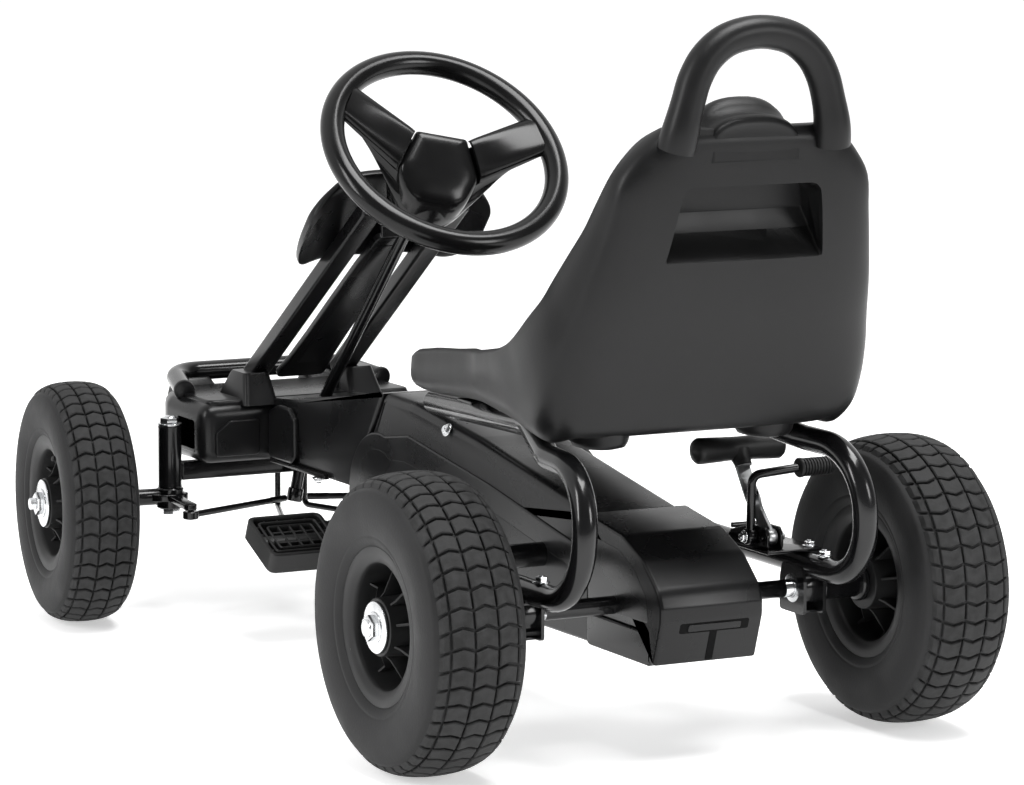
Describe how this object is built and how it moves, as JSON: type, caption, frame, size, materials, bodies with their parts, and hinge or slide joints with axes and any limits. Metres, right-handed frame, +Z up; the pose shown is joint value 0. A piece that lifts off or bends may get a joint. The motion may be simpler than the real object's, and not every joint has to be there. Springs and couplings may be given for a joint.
{
  "type": "pedal go kart",
  "caption": "Child pedal go kart with a bucket seat, pneumatic tyres, steered front wheels, chain drive under a moulded cover, side levers and tubular hoops.",
  "frame": {"origin": "centre of the footprint, on the ground", "axes": "+X to the kart's left, +Y rearwards along its length, +Z up; the kart faces -Y"},
  "size_m": [0.5832, 1.0558, 0.648],
  "materials": {
    "tyre_rubber": "matte rubber with scuffed tread blocks",
    "inner_tube_rubber": "matte",
    "rim_plastic": "moulded, low sheen",
    "zinc_plate": "bright zinc plate",
    "zinc_blade": "brushed",
    "gloss_black_paint": "gloss powder coat",
    "body_plastic": "semi-gloss moulded",
    "wheel_plastic": "gloss moulded",
    "grip_plastic": "satin",
    "pedal_plastic": "satin moulded",
    "seat_plastic": "satin blow-moulded"
  },
  "bodies": {
    "chassis": {"main_frame": "gloss_black_paint", "front_beam": "gloss_black_paint", "rear_hoop_left": "gloss_black_paint", "rear_hoop_right": "gloss_black_paint", "axle_brackets": "gloss_black_paint", "axle_bearings": "zinc_plate", "bottom_bracket": "gloss_black_paint", "column_struts": "gloss_black_paint", "column_panel": "body_plastic", "steering_bushes": "body_plastic", "shield_panel": "body_plastic", "front_bumper": "gloss_black_paint", "bumper_caps": "body_plastic", "front_guard_rods": "gloss_black_paint", "front_guard_sleeve": "grip_plastic", "nose_fairing": "body_plastic", "chain_cover": "body_plastic", "tail_cover": "body_plastic", "lower_pan": "body_plastic", "chain": "gloss_black_paint", "lever_plate": "gloss_black_paint", "seat_shell": "seat_plastic", "seat_straps": "gloss_black_paint", "frame_bolts": "zinc_plate"},
    "steering": {"steering_ring": "wheel_plastic", "steering_spokes": "wheel_plastic", "steering_pad": "wheel_plastic", "steering_shaft": "gloss_black_paint"},
    "knuckle_left": {"knuckle_left": "gloss_black_paint", "kingpin_bolt_left": "zinc_plate", "front_axle_nut_left": "zinc_plate"},
    "knuckle_right": {"knuckle_right": "gloss_black_paint", "kingpin_bolt_right": "zinc_plate", "front_axle_nut_right": "zinc_plate"},
    "tie_rod_left": {"tie_rod_left": "gloss_black_paint"},
    "tie_rod_right": {"tie_rod_right": "gloss_black_paint"},
    "front_wheel_left": {"front_tyre_left": "tyre_rubber", "front_rim_left": "rim_plastic", "front_inner_tube_left": "inner_tube_rubber"},
    "front_wheel_right": {"front_tyre_right": "tyre_rubber", "front_rim_right": "rim_plastic", "front_inner_tube_right": "inner_tube_rubber"},
    "rear_axle": {"rear_axle": "zinc_plate", "rear_tyre_left": "tyre_rubber", "rear_tyre_right": "tyre_rubber", "rear_rim_left": "rim_plastic", "rear_rim_right": "rim_plastic", "rear_inner_tubes": "inner_tube_rubber", "rear_axle_nuts": "zinc_plate", "axle_spacers": "zinc_plate", "driven_sprocket": "gloss_black_paint"},
    "crank": {"crank": "gloss_black_paint", "chainring": "gloss_black_paint"},
    "pedal_left": {"pedal_left": "pedal_plastic"},
    "pedal_right": {"pedal_right": "pedal_plastic"},
    "brake_lever": {"brake_lever": "zinc_blade", "brake_grip": "grip_plastic"},
    "gear_lever": {"gear_lever": "gloss_black_paint", "gear_grip": "grip_plastic"}
  },
  "joints": [
    {"name": "steering_turn", "type": "hinge", "parent": "chassis", "child": "steering", "pos_m": [0, -0.0641, 0.488], "axis": [0, 0.7071, 0.7071], "range_deg": [-24.5, 55.5]},
    {"name": "knuckle_left_turn", "type": "hinge", "parent": "chassis", "child": "knuckle_left", "pos_m": [0.1425, -0.3955, 0.12], "axis": [0, 0, 1], "range_deg": [-15.49, 34.71]},
    {"name": "knuckle_right_turn", "type": "hinge", "parent": "chassis", "child": "knuckle_right", "pos_m": [-0.1425, -0.3955, 0.12], "axis": [0, 0, 1], "range_deg": [-15.49, 34.71]},
    {"name": "tie_rod_left_turn", "type": "hinge", "parent": "knuckle_left", "child": "tie_rod_left", "pos_m": [0.15115, -0.32402, 0.112], "axis": [0, 0, 1], "range_deg": [-40, 40]},
    {"name": "tie_rod_right_turn", "type": "hinge", "parent": "knuckle_right", "child": "tie_rod_right", "pos_m": [-0.13385, -0.32402, 0.112], "axis": [0, 0, 1], "range_deg": [-40, 40]},
    {"name": "front_wheel_left_spin", "type": "hinge", "parent": "knuckle_left", "child": "front_wheel_left", "pos_m": [0.239, -0.40718, 0.12], "axis": [0.9928, -0.1201, 0], "continuous": true},
    {"name": "front_wheel_right_spin", "type": "hinge", "parent": "knuckle_right", "child": "front_wheel_right", "pos_m": [-0.239, -0.38382, 0.12], "axis": [0.9928, -0.1201, 0], "continuous": true},
    {"name": "rear_axle_spin", "type": "hinge", "parent": "chassis", "child": "rear_axle", "pos_m": [0, 0.3619, 0.13], "axis": [1, 0, 0], "continuous": true},
    {"name": "crank_spin", "type": "hinge", "parent": "chassis", "child": "crank", "pos_m": [0, -0.1211, 0.148], "axis": [1, 0, 0], "continuous": true},
    {"name": "pedal_left_spin", "type": "hinge", "parent": "crank", "child": "pedal_left", "pos_m": [0.096, -0.19827, 0.09978], "axis": [1, 0, 0], "continuous": true},
    {"name": "pedal_right_spin", "type": "hinge", "parent": "crank", "child": "pedal_right", "pos_m": [-0.096, -0.04393, 0.19622], "axis": [1, 0, 0], "continuous": true},
    {"name": "brake_lever_swing", "type": "hinge", "parent": "chassis", "child": "brake_lever", "pos_m": [-0.11, 0.3559, 0.176], "axis": [1, 0, 0], "range_deg": [0, 28]},
    {"name": "gear_lever_swing", "type": "hinge", "parent": "chassis", "child": "gear_lever", "pos_m": [-0.097, 0.3439, 0.176], "axis": [1, 0, 0], "range_deg": [-12, 12]}
  ],
  "couplings": [
    {"joint": "knuckle_left_turn", "follows": "steering_turn", "ratio": 0.62},
    {"joint": "knuckle_right_turn", "follows": "steering_turn", "ratio": 0.62},
    {"joint": "tie_rod_left_turn", "follows": "steering_turn", "ratio": -0.6323},
    {"joint": "tie_rod_right_turn", "follows": "steering_turn", "ratio": -0.6096},
    {"joint": "crank_spin", "follows": "rear_axle_spin", "ratio": 0.77778}
  ]
}
